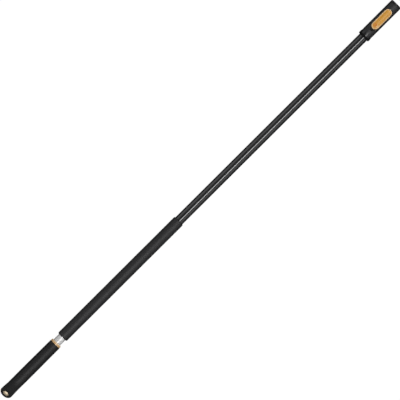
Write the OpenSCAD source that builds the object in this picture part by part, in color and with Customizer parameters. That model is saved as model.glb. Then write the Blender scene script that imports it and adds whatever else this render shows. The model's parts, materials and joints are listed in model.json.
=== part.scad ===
// Telescopic extension pole for a paint roller.
// A black outer tube carries a foam hand grip and a tool head. An aluminium inner tube with a
// rubber handle slides out of its lower end, and a half turn of that handle locks the length.
// The pole lies along X on a level surface at Z = 0: tool head towards +X, release button up.

/* [Overall] */
// Length of the closed pole, handle end to mouth of the tool head
closed_length = 1411.2; // [1300:0.2:1500]
// How far the inner tube pulls out; the tube is long enough for it
travel = 930; // [300:10:930]
// Length of inner tube that stays inside the outer tube when it is fully out
tube_overlap = 86; // [60:1:86]
// Height of the pole's axis above the surface that it lies on
axis_height = 16; // [15.8:0.1:16.2]

/* [Tubes] */
// Outside diameter of the outer tube
outer_od = 25.4; // [25.2:0.1:25.6]
// Wall of the outer tube
outer_wall = 1.05; // [0.9:0.05:1.1]
// Outside diameter of the inner tube
inner_od = 22.8; // [22.6:0.1:22.8]
// Wall of the inner tube
inner_wall = 1.1; // [0.9:0.1:1.5]

/* [Hand grips] */
// Outside diameter of the foam grip
foam_od = 30.7; // [29:0.1:31.5]
// Length of the foam grip
foam_length = 418.2; // [300:0.1:450]
// Outside diameter of the rubber handle where it meets the gold collar
handle_od = 31.2; // [30:0.1:32]
// Outside diameter of the rubber handle at its butt
butt_od = 32.2; // [31.5:0.1:33]
// Angle of the butt's slanted face from square
butt_slant = 33; // [20:1:35]
// Outside diameter of the gold collar
collar_od = 29.8; // [28:0.1:30]

/* [Tool head] */
// Outside diameter of the head
head_od = 32; // [31.8:0.1:32.2]
// Outside diameter of the flared skirt at the head's lower end
skirt_od = 33.8; // [33:0.1:34]
// Length of the release button
button_length = 65.1; // [60:0.1:67]
// Width of the release button
button_width = 19.8; // [18:0.1:22]
// How far the button rocks about its pin, in degrees
button_rock = 5.5; // [4:0.5:5.5]
// Major diameter of the male thread that the tool screws on to
thread_od = 19.05; // [19:0.05:19.1]
// Inside diameter of the cup around the thread
cup_id = 26; // [25:0.1:26.5]
// Depth of the cup, mouth to bulkhead
cup_depth = 32; // [28:0.5:32]

/* [Length lock] */
// Clearance all round between a turning or sliding part and its guide
running_gap = 0.05; // [0.03:0.01:0.09]
// Number of fingers on the collet
finger_count = 4; // [3:1:6]
// Diameter of the lock screw
screw_od = 8; // [6:0.5:8]
// Turns of wire in the button's spring
spring_turns = 6; // [4:1:8]

/* [Hidden] */

round_fn = 96;
fine_fn = 48;
cut = 1;

// Stations along the pole, measured from the middle of its closed length
mouth_x = closed_length / 2;
butt_x = -closed_length / 2;
head_x = mouth_x - 119.8;
tube_top_x = head_x + 26.2;
foam_x = butt_x + 212;
foam_top_x = foam_x + foam_length;
tube_foot_x = foam_x + 7.6;
collar_x = butt_x + 186.1;
collar_top_x = collar_x + 6.4;

outer_r = outer_od / 2;
outer_bore_r = outer_r - outer_wall;
inner_r = inner_od / 2;
inner_bore_r = inner_r - inner_wall;
foam_r = foam_od / 2;
head_r = head_od / 2;
skirt_r = skirt_od / 2;
cup_r = cup_id / 2;
thread_r = thread_od / 2;

// Guide bush over the outer tube's foot
bush_r = 14;
bush_length = 36.4;
bush_set_back = 1.2;
bush_x = foam_x + bush_set_back;

// Head: skirt, cup, stud and mouth ring
skirt_length = 13;
skirt_lip = 1.2;
skirt_bevel = 3.4;
skirt_band = 1.4;
bulkhead_x = mouth_x - cup_depth;
ring_length = 6;
ring_spigot = 3;
ring_edge = 2.6;
ring_spigot_r = cup_r + 1.3;
ring_x = mouth_x - ring_length;
thread_x = bulkhead_x + 1.5;
thread_length = 23;
thread_lead_in = 2;
shank_r = 5;
shank_length = 23;
relief_r = 8;
stud_pin_r = 2;
stud_pin_x = bulkhead_x - 12;
stud_pin_half = 15.2;
insert_bore_r = 8.5;
rivet_x = head_x + 14.2;
rivet_r = 2;
rivet_seat = 14.5;
rivet_head_r = 3.5;
rivet_head_height = 1;

// Release button, its pocket, pivot, spring and pawl
button_x = mouth_x - 87.4;
button_mid_x = button_x + button_length / 2;
pocket_gap = 1.3;
pocket_floor = 8.4;
button_floor = 9;
button_crown_r = head_r + 0.3;
rim_width = 2;
rim_height = 0.8;
dimple_x = button_x + 9.8;
dimple_r = 12;
dimple_depth = 1.1;
scoop_x = button_x - 1.5;
scoop_r = 6;
scoop_depth = 4.5;
pivot_x = button_mid_x - 8;
stem_gap = 0.35;
pivot_z = 6.2;
pivot_r = 1.5;
spring_floor = button_floor - (pivot_x - button_x) * sin(button_rock) - 0.6;
pivot_half = 13.4;
cheek_half = 2.6;
stem_half = 5.5;
stem_length = 14;
boss_r = 3;
pawl_tip_x = bulkhead_x + 8;
pawl_tail_x = bulkhead_x - 11;
pawl_half = 4;
pawl_low = 10.9;
pawl_mid = 12.2;
pawl_top = 13.6;
pawl_rivet_r = 1.5;
pawl_rivet_x = pawl_tail_x + 5;
spring_x = button_x + 7.3;
spring_r = 2.6;
spring_wire_r = 0.4;
spring_foot = -3;
spring_well_r = 3.4;
spring_gap = 0.06;
spring_nub_r = 1.7;

// Handle end
core_r = 13.2;
core_foot_x = butt_x + 19.2;
collar_shoulder = 1.2;
face_x = butt_x + 8.4;
plug_disc_r = 8.2;
plug_disc_depth = 6;
plug_proud = 2.4;
plug_dome_r = 12.9;
plug_neck_r = 7.4;
plug_neck_length = 5;
plug_spigot = 18;
handle_pin_r = 2;
handle_pin_xs = [core_foot_x + 10, collar_x - 20];
flare_side = 0.65;
flare_extra = 0.85;
flare_length = 40;
taper_length = 150;

// Length lock on the inner tube's top end
lock_x = tube_foot_x + travel + tube_overlap;
lock_plug_spigot = 30;
lock_flange = 5;
collet_r = 11.3;
collet_base = 9.5;
collet_length = 36;
collet_gap = 0.5;
collet_x = lock_x + lock_flange + collet_gap;
finger_slot = 2;
cone_small_r = 6.6;
cone_large_r = 9.2;
cone_length = 19;
cone_seat_gap = 0.5;
cone_x = collet_x + collet_length - 14;
screw_r = screw_od / 2;
washer_r = 8;
washer_thick = 1.5;
washer_x = cone_x + cone_length + 0.4;
nut_width = 13;
nut_thick = 4.7;
screw_end_x = washer_x + washer_thick + nut_thick + 1;
drag_ring_r = 10.4;
drag_ring_width = 3;
drag_ring_x = collet_x + 3;
plug_pin_r = 1.5;

outer_black = [0.10, 0.10, 0.11];
foam_black = [0.13, 0.13, 0.14];
head_black = [0.16, 0.16, 0.17];
gold = [0.80, 0.60, 0.30];
silver = [0.75, 0.76, 0.78];
steel = [0.60, 0.61, 0.64];
nylon = [0.85, 0.84, 0.80];

// ---- shapes that repeat ----

// Stands its children up along the pole's axis, their Z pointing to the tool head
module along(x) {
    translate([x, 0, axis_height]) rotate([0, 90, 0]) children();
}

// Lays its children across the pole, centred on its axis plane, their Z pointing along Y
module across(x, z) {
    translate([x, 0, axis_height + z]) rotate([-90, 0, 0]) children();
}

// Turns an outline of [radius, station] points about the pole's axis
module turned(points) {
    along(0) rotate_extrude($fn = round_fn) polygon(points);
}

module bar(x, length, r, fn = round_fn) {
    along(x) cylinder(h = length, r = r, $fn = fn);
}

module pipe(x, length, r, bore_r) {
    difference() {
        bar(x, length, r);
        bar(x - cut, length + 2 * cut, bore_r);
    }
}

module cross_pin(x, z, r, half) {
    across(x, z) cylinder(h = 2 * half, r = r, center = true, $fn = fine_fn);
}

// A solid bar with its two outer edges rounded
module rounded_bar(x, length, r, edge) {
    along(x) rotate_extrude($fn = round_fn) union() {
        translate([0, edge]) square([r, length - 2 * edge]);
        square([r - edge, length]);
        translate([r - edge, edge]) circle(r = edge, $fn = fine_fn);
        translate([r - edge, length - edge]) circle(r = edge, $fn = fine_fn);
    }
}

// Outline of the button, or of its pocket with a margin all round
module stadium(margin) {
    half = button_width / 2 + margin;
    translate([button_x + button_width / 2, 0]) circle(r = half, $fn = round_fn);
    translate([button_x + button_length - button_width / 2, 0]) circle(r = half, $fn = round_fn);
    translate([button_x + button_width / 2, -half]) square([button_length - button_width, 2 * half]);
}

module upright(z, height) {
    translate([0, 0, axis_height + z]) linear_extrude(height = height) children();
}

// A block from one station to the next, as wide as twice half, between two heights
module block(x0, x1, half, z0, z1) {
    translate([x0, -half, axis_height + z0]) cube([x1 - x0, 2 * half, z1 - z0]);
}

// ---- outer tube and what it carries ----

module outer_tube() {
    color(outer_black) difference() {
        pipe(tube_foot_x, tube_top_x - tube_foot_x, outer_r, outer_bore_r);
        tip_rivet_holes();
    }
}

module foam_grip() {
    color(foam_black) difference() {
        rounded_bar(foam_x, foam_length, foam_r, 2);
        bar(foam_x - cut, foam_length + 2 * cut, outer_r);
        bar(foam_x - cut, bush_set_back + bush_length + cut, bush_r);
    }
}

// Its lip guides the inner tube, and its skirt grips the outer tube's foot inside the foam
module guide_bush() {
    lip_r = inner_r + running_gap;
    color(head_black) turned([
        [lip_r + 0.5, bush_x],
        [bush_r - 0.5, bush_x],
        [bush_r, bush_x + 0.5],
        [bush_r, bush_x + bush_length],
        [outer_r, bush_x + bush_length],
        [outer_r, tube_foot_x],
        [lip_r, tube_foot_x],
        [lip_r, bush_x + 0.5]
    ]);
}

// ---- tool head ----

module tip_insert() {
    color(nylon) difference() {
        pipe(head_x + 0.5, tube_top_x - head_x - 0.5, outer_bore_r, insert_bore_r);
        tip_rivet_holes();
    }
}

module tip_rivet_holes() {
    cross_pin(rivet_x, 0, rivet_r, head_r + cut);
}

// Two rivets, their heads in counterbores, hold the head, the tube and the insert together
module tip_rivets() {
    color(steel) for (side = [-1, 1]) {
        across(rivet_x, 0) rotate([side < 0 ? 180 : 0, 0, 0]) union() {
            translate([0, 0, insert_bore_r])
                cylinder(h = rivet_seat - insert_bore_r, r = rivet_r, $fn = fine_fn);
            translate([0, 0, rivet_seat])
                cylinder(h = rivet_head_height, r = rivet_head_r, $fn = fine_fn);
        }
    }
}

module rivet_head_seats() {
    for (side = [-1, 1]) {
        across(rivet_x, 0) translate([0, 0, side * (rivet_seat + cut)])
            cylinder(h = 2 * cut, r = rivet_head_r, center = true, $fn = fine_fn);
    }
}

// The skirt flares out towards the outer tube
module head_outline() {
    turned([
        [0, head_x],
        [skirt_r - skirt_lip, head_x],
        [skirt_r, head_x + skirt_bevel],
        [skirt_r, head_x + skirt_bevel + skirt_band],
        [head_r, head_x + skirt_length],
        [head_r, ring_x],
        [0, ring_x]
    ]);
}

// Room for the button to rock in, with a scoop that leads the thumb on to its lower end
module button_pocket() {
    upright(pocket_floor, head_r) stadium(pocket_gap);
    intersection() {
        upright(spring_floor, head_r) stadium(pocket_gap);
        block(button_x - 5, pivot_x - cheek_half, head_r, spring_floor, head_r);
    }
    block(pivot_x - stem_length / 2 - 2 * stem_gap, pivot_x + stem_length / 2 + 2 * stem_gap,
        stem_half + stem_gap, pivot_z - boss_r - 2 * stem_gap, head_r);
    translate([spring_x, 0, axis_height + spring_foot])
        cylinder(h = head_r, r = spring_well_r, $fn = fine_fn);
    translate([scoop_x, 0, axis_height + head_r - scoop_depth + scoop_r]) sphere(r = scoop_r, $fn = round_fn);
}

module tip_housing() {
    color(head_black) difference() {
        head_outline();
        bar(head_x - cut, tube_top_x - head_x + cut, outer_r);
        bar(bulkhead_x, cup_depth, cup_r);
        bar(ring_x - ring_spigot, cup_depth, ring_spigot_r);
        bar(bulkhead_x - shank_length, shank_length + cut, shank_r, fine_fn);
        cross_pin(stud_pin_x, 0, stud_pin_r, head_r + cut);
        cross_pin(pivot_x, pivot_z, pivot_r, pivot_half);
        button_pocket();
        tip_rivet_holes();
        rivet_head_seats();
        rest_flat();
    }
}

// Everything below the surface is cut away, which leaves a narrow flat to rest on
module rest_flat() {
    translate([-closed_length, -head_od, -head_od]) cube([2 * closed_length, 2 * head_od, head_od]);
}

// Soft ring that rounds off the mouth of the cup
module mouth_ring() {
    color(outer_black) difference() {
        along(ring_x - ring_spigot) rotate_extrude($fn = round_fn) union() {
            square([ring_spigot_r, ring_spigot + ring_length]);
            translate([0, ring_spigot]) square([head_r, ring_length - ring_edge]);
            translate([0, ring_spigot]) square([head_r - ring_edge, ring_length]);
            translate([head_r - ring_edge, ring_spigot + ring_length - ring_edge])
                circle(r = ring_edge, $fn = fine_fn);
        }
        bar(ring_x - ring_spigot - cut, ring_spigot + ring_length + 2 * cut, cup_r);
        rest_flat();
    }
}

// Male thread drawn at its major diameter, with its shank pinned into the bulkhead
module threaded_stud() {
    color(steel) difference() {
        turned([
            [0, bulkhead_x - shank_length],
            [shank_r, bulkhead_x - shank_length],
            [shank_r, bulkhead_x],
            [relief_r, bulkhead_x],
            [relief_r, thread_x],
            [thread_r, thread_x],
            [thread_r, thread_x + thread_length],
            [thread_r - thread_lead_in, thread_x + thread_length + thread_lead_in],
            [0, thread_x + thread_length + thread_lead_in]
        ]);
        cross_pin(stud_pin_x, 0, stud_pin_r, thread_r);
    }
}

module stud_pin() {
    color(steel) cross_pin(stud_pin_x, 0, stud_pin_r, stud_pin_half);
}

// ---- release button ----

// Rocking cap with a raised rim and a thumb dimple, and a stem that hangs on the pivot pin
module release_button() {
    color(gold) difference() {
        union() {
            intersection() {
                upright(button_floor, head_r) stadium(0);
                bar(button_x - cut, button_length + 2 * cut, button_crown_r);
            }
            block(pivot_x - stem_length / 2, pivot_x + stem_length / 2, stem_half, pivot_z, button_floor + 1);
            cross_pin(pivot_x, pivot_z, boss_r, stem_half);
            translate([spring_x, 0, axis_height + button_floor - 2])
                cylinder(h = 3, r = spring_nub_r, $fn = fine_fn);
        }
        difference() {
            upright(button_floor, head_r) stadium(-rim_width);
            bar(button_x - cut, button_length + 2 * cut, button_crown_r - rim_height);
        }
        translate([dimple_x, 0, axis_height + button_crown_r - rim_height - dimple_depth + dimple_r])
            sphere(r = dimple_r, $fn = round_fn);
        bar(bulkhead_x - 1, cup_depth, cup_r + 0.7);
        cross_pin(pivot_x, pivot_z, pivot_r + running_gap, head_r);
        block(pawl_tail_x, pawl_tip_x, pawl_half, pawl_mid, pawl_top);
        translate([pawl_rivet_x, 0, axis_height + button_floor - cut])
            cylinder(h = pawl_top - button_floor, r = pawl_rivet_r, $fn = fine_fn);
    }
}

// Steel tongue under the button; its hooked end reaches into the cup and drops behind the tool's collar
module latch_pawl() {
    color(steel) difference() {
        union() {
            block(pawl_tail_x, pawl_tip_x, pawl_half, pawl_mid, pawl_top);
            translate([0, pawl_half, axis_height]) rotate([90, 0, 0]) linear_extrude(height = 2 * pawl_half)
                polygon([
                    [pawl_tip_x - 6, pawl_mid],
                    [pawl_tip_x - 6, pawl_low],
                    [pawl_tip_x - 4, pawl_low],
                    [pawl_tip_x, pawl_mid]
                ]);
        }
        translate([pawl_rivet_x, 0, axis_height]) cylinder(h = head_r, r = pawl_rivet_r, $fn = fine_fn);
    }
}

module pawl_rivet() {
    color(steel) translate([pawl_rivet_x, 0, axis_height + button_floor])
        cylinder(h = pawl_top - button_floor - cut, r = pawl_rivet_r, $fn = fine_fn);
}

module button_pivot_pin() {
    color(steel) cross_pin(pivot_x, pivot_z, pivot_r, pivot_half);
}

// Steel coil that pushes the thumb end of the button up
module button_spring() {
    sides = 8;
    steps = 16 * spring_turns;
    foot = axis_height + spring_foot + spring_wire_r + spring_gap;
    rise = button_floor - spring_foot - 2 * spring_wire_r - 2 * spring_gap;
    function wire_point(i, j) =
        let (turn = 360 * spring_turns * i / steps, round = 360 * j / sides)
        [
            spring_x + (spring_r + spring_wire_r * cos(round)) * cos(turn),
            (spring_r + spring_wire_r * cos(round)) * sin(turn),
            foot + rise * i / steps + spring_wire_r * sin(round)
        ];
    points = [for (i = [0 : steps]) for (j = [0 : sides - 1]) wire_point(i, j)];
    walls = [
        for (i = [0 : steps - 1]) for (j = [0 : sides - 1])
            let (a = i * sides + j, b = i * sides + (j + 1) % sides)
            each [[a, b, a + sides], [b, b + sides, a + sides]]
    ];
    ends = [
        [for (j = [sides - 1 : -1 : 0]) j],
        [for (j = [0 : sides - 1]) steps * sides + j]
    ];
    color(steel) polyhedron(points = points, faces = concat(walls, ends), convexity = 10);
}

// ---- inner tube and handle ----

module inner_tube() {
    color(silver) difference() {
        pipe(core_foot_x, lock_x - core_foot_x, inner_r, inner_bore_r);
        handle_pin_holes();
        cross_pin(lock_x - lock_plug_spigot / 2, 0, plug_pin_r, inner_r + cut);
    }
}

module handle_pin_holes() {
    for (x = handle_pin_xs) {
        cross_pin(x, 0, handle_pin_r, core_r);
    }
}

// Gold core under the rubber; it shows as a collar at the handle's upper end
module handle_core() {
    color(gold) difference() {
        union() {
            bar(collar_x, collar_top_x - collar_x - collar_shoulder, collar_od / 2);
            rounded_bar(collar_x, collar_top_x - collar_x, collar_od / 2, collar_shoulder);
            bar(core_foot_x, collar_x - core_foot_x + 2, core_r);
        }
        bar(core_foot_x - cut, collar_top_x - core_foot_x + 2 * cut, inner_r);
        handle_pin_holes();
    }
}

module handle_pins() {
    color(steel) for (x = handle_pin_xs) {
        cross_pin(x, 0, handle_pin_r, core_r - 0.2);
    }
}

// Half space behind the butt's slanted face, moved outwards along the face's normal
module beyond_face(proud) {
    translate([face_x, 0, axis_height]) rotate([0, butt_slant, 0])
        translate([-2 * butt_od - proud, -butt_od, -2 * butt_od])
        cube([2 * butt_od, 2 * butt_od, 4 * butt_od]);
}

// Shallow dome on the slanted face, part of a sphere whose middle lies inside the butt
module plug_dome() {
    intersection() {
        face_bar(cut, plug_proud, plug_disc_r - 0.6);
        translate([face_x, 0, axis_height]) rotate([0, butt_slant, 0])
            translate([plug_dome_r - plug_proud, 0, 0]) sphere(r = plug_dome_r, $fn = round_fn);
    }
}

// Round bar square to the slanted face, from a depth inside it to a height proud of it
module face_bar(depth, proud, r) {
    translate([face_x, 0, axis_height]) rotate([0, butt_slant, 0]) translate([-proud, 0, 0])
        rotate([0, 90, 0]) cylinder(h = depth + proud, r = r, $fn = round_fn);
}

module end_plug_outline() {
    union() {
        face_bar(plug_disc_depth, 0, plug_disc_r);
        bar(core_foot_x - plug_neck_length, plug_neck_length + cut, plug_neck_r);
        bar(core_foot_x, plug_spigot, inner_bore_r);
    }
}

module handle_grip() {
    color(outer_black) difference() {
        union() {
            bar(butt_x, collar_x - butt_x, handle_od / 2);
            along(butt_x) cylinder(h = taper_length, r1 = butt_od / 2, r2 = handle_od / 2, $fn = round_fn);
            translate([butt_x, flare_side, axis_height])
                rotate([0, 90, 0]) rotate([atan(flare_side / flare_length), 0, 0])
                    cylinder(h = flare_length, r1 = butt_od / 2 + flare_extra, r2 = handle_od / 2,
                        $fn = round_fn);
        }
        bar(core_foot_x, collar_x - core_foot_x + cut, core_r);
        beyond_face(0);
        translate([butt_x - butt_od, -butt_od, 0]) cube([butt_od, 2 * butt_od, 2 * butt_od]);
        end_plug_outline();
        rest_flat();
    }
}

// Gold cap in the slanted face, with a spigot pinned into the inner tube
module end_plug() {
    color(gold) difference() {
        union() {
            end_plug_outline();
            plug_dome();
        }
        handle_pin_holes();
    }
}

// ---- length lock ----

module inner_plug() {
    color(nylon) difference() {
        union() {
            bar(lock_x - lock_plug_spigot, lock_plug_spigot, inner_bore_r);
            bar(lock_x, lock_flange, outer_bore_r - 0.1);
        }
        bar(lock_x - lock_plug_spigot - cut, lock_plug_spigot + lock_flange + 2 * cut, screw_r, fine_fn);
        cross_pin(lock_x - lock_plug_spigot / 2, 0, plug_pin_r, inner_r);
    }
}

module plug_pin() {
    color(steel) cross_pin(lock_x - lock_plug_spigot / 2, 0, plug_pin_r, inner_r - 0.2);
}

module lock_screw() {
    start = lock_x - lock_plug_spigot + 2;
    color(steel) difference() {
        bar(start, screw_end_x - start, screw_r, fine_fn);
        cross_pin(lock_x - lock_plug_spigot / 2, 0, plug_pin_r, inner_r);
    }
}

module stop_washer() {
    color(steel) pipe(washer_x, washer_thick, washer_r, screw_r);
}

module stop_nut() {
    color(steel) difference() {
        bar(washer_x + washer_thick, nut_thick, nut_width / sqrt(3), 6);
        bar(washer_x, nut_thick + 2 * cut, screw_r, fine_fn);
    }
}

// Split sleeve whose fingers the cone spreads against the outer tube's bore
module lock_collet() {
    slope = (cone_large_r - cone_small_r) / cone_length;
    seat_r = cone_small_r + cone_seat_gap;
    color(nylon) difference() {
        bar(collet_x, collet_length, collet_r);
        bar(collet_x - cut, collet_length, screw_r + 0.4, fine_fn);
        bar(collet_x + collet_base, cone_x - collet_x - collet_base + cut, seat_r);
        along(cone_x) cylinder(
            h = collet_x + collet_length - cone_x + cut,
            r1 = seat_r,
            r2 = seat_r + slope * (collet_x + collet_length - cone_x + cut),
            $fn = round_fn);
        for (i = [0 : finger_count - 1]) {
            along(collet_x + collet_base) rotate([0, 0, 360 * i / finger_count])
                translate([0, -finger_slot / 2, 0]) cube([2 * collet_r, finger_slot, collet_length]);
        }
        pipe(drag_ring_x, drag_ring_width, collet_r + cut, drag_ring_r);
    }
}

// Rubber ring that keeps the collet from spinning in the tube
module drag_ring() {
    color(outer_black) pipe(drag_ring_x, drag_ring_width, outer_bore_r - running_gap, drag_ring_r);
}

// Taper that the screw draws into the fingers; its keys run in the collet's slots
module expander_cone() {
    key_half = finger_slot / 2 - 0.35;
    color(gold) difference() {
        union() {
            along(cone_x) cylinder(h = cone_length, r1 = cone_small_r, r2 = cone_large_r, $fn = round_fn);
            for (i = [0 : finger_count - 1]) {
                along(cone_x + 2) rotate([0, 0, 360 * i / finger_count])
                    translate([0, -key_half, 0]) cube([collet_r - 0.8, 2 * key_half, cone_length - 4]);
            }
        }
        bar(cone_x - cut, cone_length + 2 * cut, screw_r + running_gap, fine_fn);
    }
}

outer_tube();
foam_grip();
guide_bush();
tip_insert();
tip_rivets();
tip_housing();
mouth_ring();
threaded_stud();
stud_pin();
release_button();
latch_pawl();
pawl_rivet();
button_pivot_pin();
button_spring();
inner_tube();
handle_core();
handle_grip();
end_plug();
handle_pins();
inner_plug();
plug_pin();
lock_screw();
stop_washer();
stop_nut();
lock_collet();
drag_ring();
expander_cone();
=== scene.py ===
# %% [markdown]
# # Roller extension pole
# A painter's telescopic pole: a black outer tube with a foam grip and a tool head, and an aluminium
# inner tube that slides out of it with a rubber handle on its end. The working parts come packed
# from the CAD as a fixed frame. Here they get their finishes, and the soft or finely shaped pieces
# are built again as detailed meshes in exactly the same place.

# %% Load the frame
import json
import math

import bmesh
import bpy
from mathutils import Matrix, Vector, noise


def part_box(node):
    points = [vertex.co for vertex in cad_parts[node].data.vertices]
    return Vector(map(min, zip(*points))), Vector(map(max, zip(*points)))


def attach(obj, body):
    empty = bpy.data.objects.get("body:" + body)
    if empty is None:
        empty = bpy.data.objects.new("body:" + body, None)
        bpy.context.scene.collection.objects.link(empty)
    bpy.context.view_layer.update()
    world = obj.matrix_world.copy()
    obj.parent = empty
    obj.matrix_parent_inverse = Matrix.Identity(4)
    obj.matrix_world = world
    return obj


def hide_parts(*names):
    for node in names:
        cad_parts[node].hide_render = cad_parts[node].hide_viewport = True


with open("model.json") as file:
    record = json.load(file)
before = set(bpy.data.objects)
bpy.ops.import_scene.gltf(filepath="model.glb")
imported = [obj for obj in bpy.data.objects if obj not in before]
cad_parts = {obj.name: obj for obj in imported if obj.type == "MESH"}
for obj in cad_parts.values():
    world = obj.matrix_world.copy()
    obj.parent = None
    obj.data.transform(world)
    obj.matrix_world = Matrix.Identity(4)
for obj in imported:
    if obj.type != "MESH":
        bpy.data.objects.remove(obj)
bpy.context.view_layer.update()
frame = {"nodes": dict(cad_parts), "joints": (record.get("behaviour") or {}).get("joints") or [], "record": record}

# %% [markdown]
# The stations and radii below are read from the frame, so a change to the CAD carries through to
# them; other sizes are given as numbers. A CAD node's lowest and highest corners give its stations
# along the pole (X) and, for a round piece, its radius.

# %% Stations and radii
MM = 0.001
AXIS = sum(corner.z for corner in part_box("inner_tube")) / 2


def span(node):
    """First and last station of a node along the pole."""
    low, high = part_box(node)
    return low.x, high.x


def radius(node):
    """Radius of a round node that is centred on the pole's axis."""
    low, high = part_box(node)
    return (high.y - low.y) / 2


foam_start, foam_end = span("foam_grip")
head_start, head_end = span("tip_housing")
collar_end = span("handle_core")[1]
butt, grip_end = span("handle_grip")
button_start = span("release_button")[0]
dimple_at, scoop_at = button_start + 10 * MM, button_start - 2.1 * MM
tube_r = radius("outer_tube")
print(f"axis {AXIS / MM:.1f} mm up; foam {foam_start:.3f} to {foam_end:.3f} m; head from {head_start:.3f} m")

# %% [markdown]
# Shader nodes could be made and linked one by one, but their maths reads best as plain arithmetic.
# `Signal` wraps a socket so that `a * b + 1` adds the Math nodes.

# %% Shader helpers: signals
class Signal:
    """A number or a colour that comes out of a node."""

    def __init__(self, finish, socket):
        self.finish, self.socket = finish, socket

    def _math(self, operation, *values):
        return self.finish.add("ShaderNodeMath", {"operation": operation}, dict(enumerate(values)))[0]

    def __add__(self, other):
        return self._math("ADD", self, other)

    def __sub__(self, other):
        return self._math("SUBTRACT", self, other)

    def __rsub__(self, other):
        return self._math("SUBTRACT", other, self)

    def __mul__(self, other):
        return self._math("MULTIPLY", self, other)

    def __pow__(self, other):
        return self._math("POWER", self, other)

    __radd__ = __add__
    __rmul__ = __mul__

    def absolute(self):
        return self._math("ABSOLUTE", self)

    def step(self, low, high):
        """A soft step from 0 at low to 1 at high; a low above high turns it round."""
        return self.finish.add(
            "ShaderNodeMapRange", {"interpolation_type": "SMOOTHSTEP"}, {0: self, 1: low, 2: high}
        )[0]


class Outputs:
    """Hands out a node's outputs as signals, by name or place."""

    def __init__(self, finish, node):
        self.finish, self.node = finish, node

    def __getitem__(self, name):
        return Signal(self.finish, self.node.outputs[name])


print("signals ready")

# %% [markdown]
# `Finish` is one material. Its `add` method makes any node from its type, its settings and its
# inputs, and the short methods after it are the patterns that most finishes here share. They work
# from the place on the object and not from a UV map, so no seam shows and a size is a real size.

# %% Shader helpers: a finish
# Places of the Mix node's colour sockets
MIX_FACTOR, MIX_A, MIX_B, MIX_RESULT = 0, 6, 7, 2


class Finish:
    """One material: a Principled shader, the place on the object, and what is linked to them."""

    def __init__(self, name, **constants):
        self.material = bpy.data.materials.new(name)
        self.material.use_nodes = True
        self.tree = self.material.node_tree
        self.shader = self.tree.nodes["Principled BSDF"]
        for socket, value in constants.items():
            self.shader.inputs[socket.replace("_", " ")].default_value = value
        self.place = self.add("ShaderNodeTexCoord")["Object"]
        parts = self.add("ShaderNodeSeparateXYZ", {}, {0: self.place})
        self.x, self.y, self.z = parts[0], parts[1], parts[2] - AXIS
        self.tint = self.rough = self.relief = None
        print("finish:", name)

    def add(self, kind, settings=None, inputs=None):
        """Makes a node; an input is either a constant or a signal to link."""
        node = self.tree.nodes.new(kind)
        for name, value in (settings or {}).items():
            setattr(node, name, value)
        for name, value in (inputs or {}).items():
            if isinstance(value, Signal):
                self.tree.links.new(value.socket, node.inputs[name])
            else:
                node.inputs[name].default_value = value
        return Outputs(self, node)

    def feed(self, socket, signal):
        """Links a signal to one of the shader's sockets."""
        self.tree.links.new(signal.socket, self.shader.inputs[socket])

    def radial(self):
        """Distance from the pole's axis."""
        return (self.y * self.y + self.z * self.z) ** 0.5

    def away_from(self, x, y, squash=1.0):
        """Distance from an upright line through (x, y), with the part along the pole scaled by squash."""
        along, across = (self.x - x) * squash, self.y - y
        return (along * along + across * across) ** 0.5

    def stretched(self, along, across):
        """The place, scaled along and across the pole, for grain that runs one way."""
        return self.add("ShaderNodeMapping", {}, {"Vector": self.place, "Scale": (along, across, across)})[0]

    def speckle(self, size, detail, where=None):
        """Even noise from 0 to 1 with features of about one size, in metres."""
        return self.add(
            "ShaderNodeTexNoise",
            {"noise_dimensions": "3D"},
            {"Vector": where or self.place, "Scale": 1 / size, "Detail": detail, "Roughness": 0.55},
        )[0]

    def cells(self, size):
        """Distance to the nearest cell centre, for pores and grains."""
        return self.add(
            "ShaderNodeTexVoronoi", {"feature": "F1"}, {"Vector": self.place, "Scale": 1 / size}
        )["Distance"]

    def between(self, factor, colour_a, colour_b):
        """Mixes two colours by a signal."""
        inputs = {MIX_FACTOR: factor}
        for place, colour in ((MIX_A, colour_a), (MIX_B, colour_b)):
            inputs[place] = colour if isinstance(colour, Signal) else (*colour, 1)
        return self.add("ShaderNodeMix", {"data_type": "RGBA"}, inputs)[MIX_RESULT]

    def emboss(self, height, depth):
        """Adds relief of a depth in metres to what is already there."""
        inputs = {"Height": height, "Distance": depth, "Strength": 1.0}
        if self.relief:
            inputs["Normal"] = self.relief
        self.relief = self.add("ShaderNodeBump", {}, inputs)[0]
        self.feed("Normal", self.relief)

    def ease_edges(self, width):
        """Lets the light roll over sharp edges, as on any moulded or tumbled piece."""
        self.relief = self.add("ShaderNodeBevel", {"samples": 6}, {"Radius": width})[0]
        self.feed("Normal", self.relief)


# The finish of each material slot that the record names
FINISHES = {}
print("shader helpers ready")

# %% [markdown]
# ## Black coated tube
# The outer tube is drawn aluminium under a glossy black coat. A thick coat flows out smooth but
# keeps a faint orange peel, and sliding a hand along it leaves hair-fine lengthwise marks. The
# marks only change roughness, so they show as breaks in the long reflections.

# %% Coated tube
def coated_black():
    f = Finish("glossy_black_coat", IOR=1.5, Specular_IOR_Level=0.6)
    marks = f.speckle(0.4 * MM, 2.0, f.stretched(0.02, 1.0)).step(0.58, 0.72)
    patches = f.speckle(30 * MM, 2.0)
    f.feed("Base Color", f.between(patches, (0.0130, 0.0132, 0.0136), (0.0180, 0.0182, 0.0187)))
    f.feed("Roughness", 0.11 + marks * 0.09 + patches * 0.04)
    f.emboss(f.speckle(2.2 * MM, 1.0), 0.006 * MM)
    return f.material


FINISHES["coated_tube"] = coated_black()

# %% [markdown]
# ## Foam
# The long grip is closed-cell foam: matte, a touch greyer where hands have polished it, with tiny
# open pores where the skin was ground off. An image of foam would repeat along such a long sleeve,
# so two sizes of Voronoi cells make the pores, as relief and as a darker tone in their middles.

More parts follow.
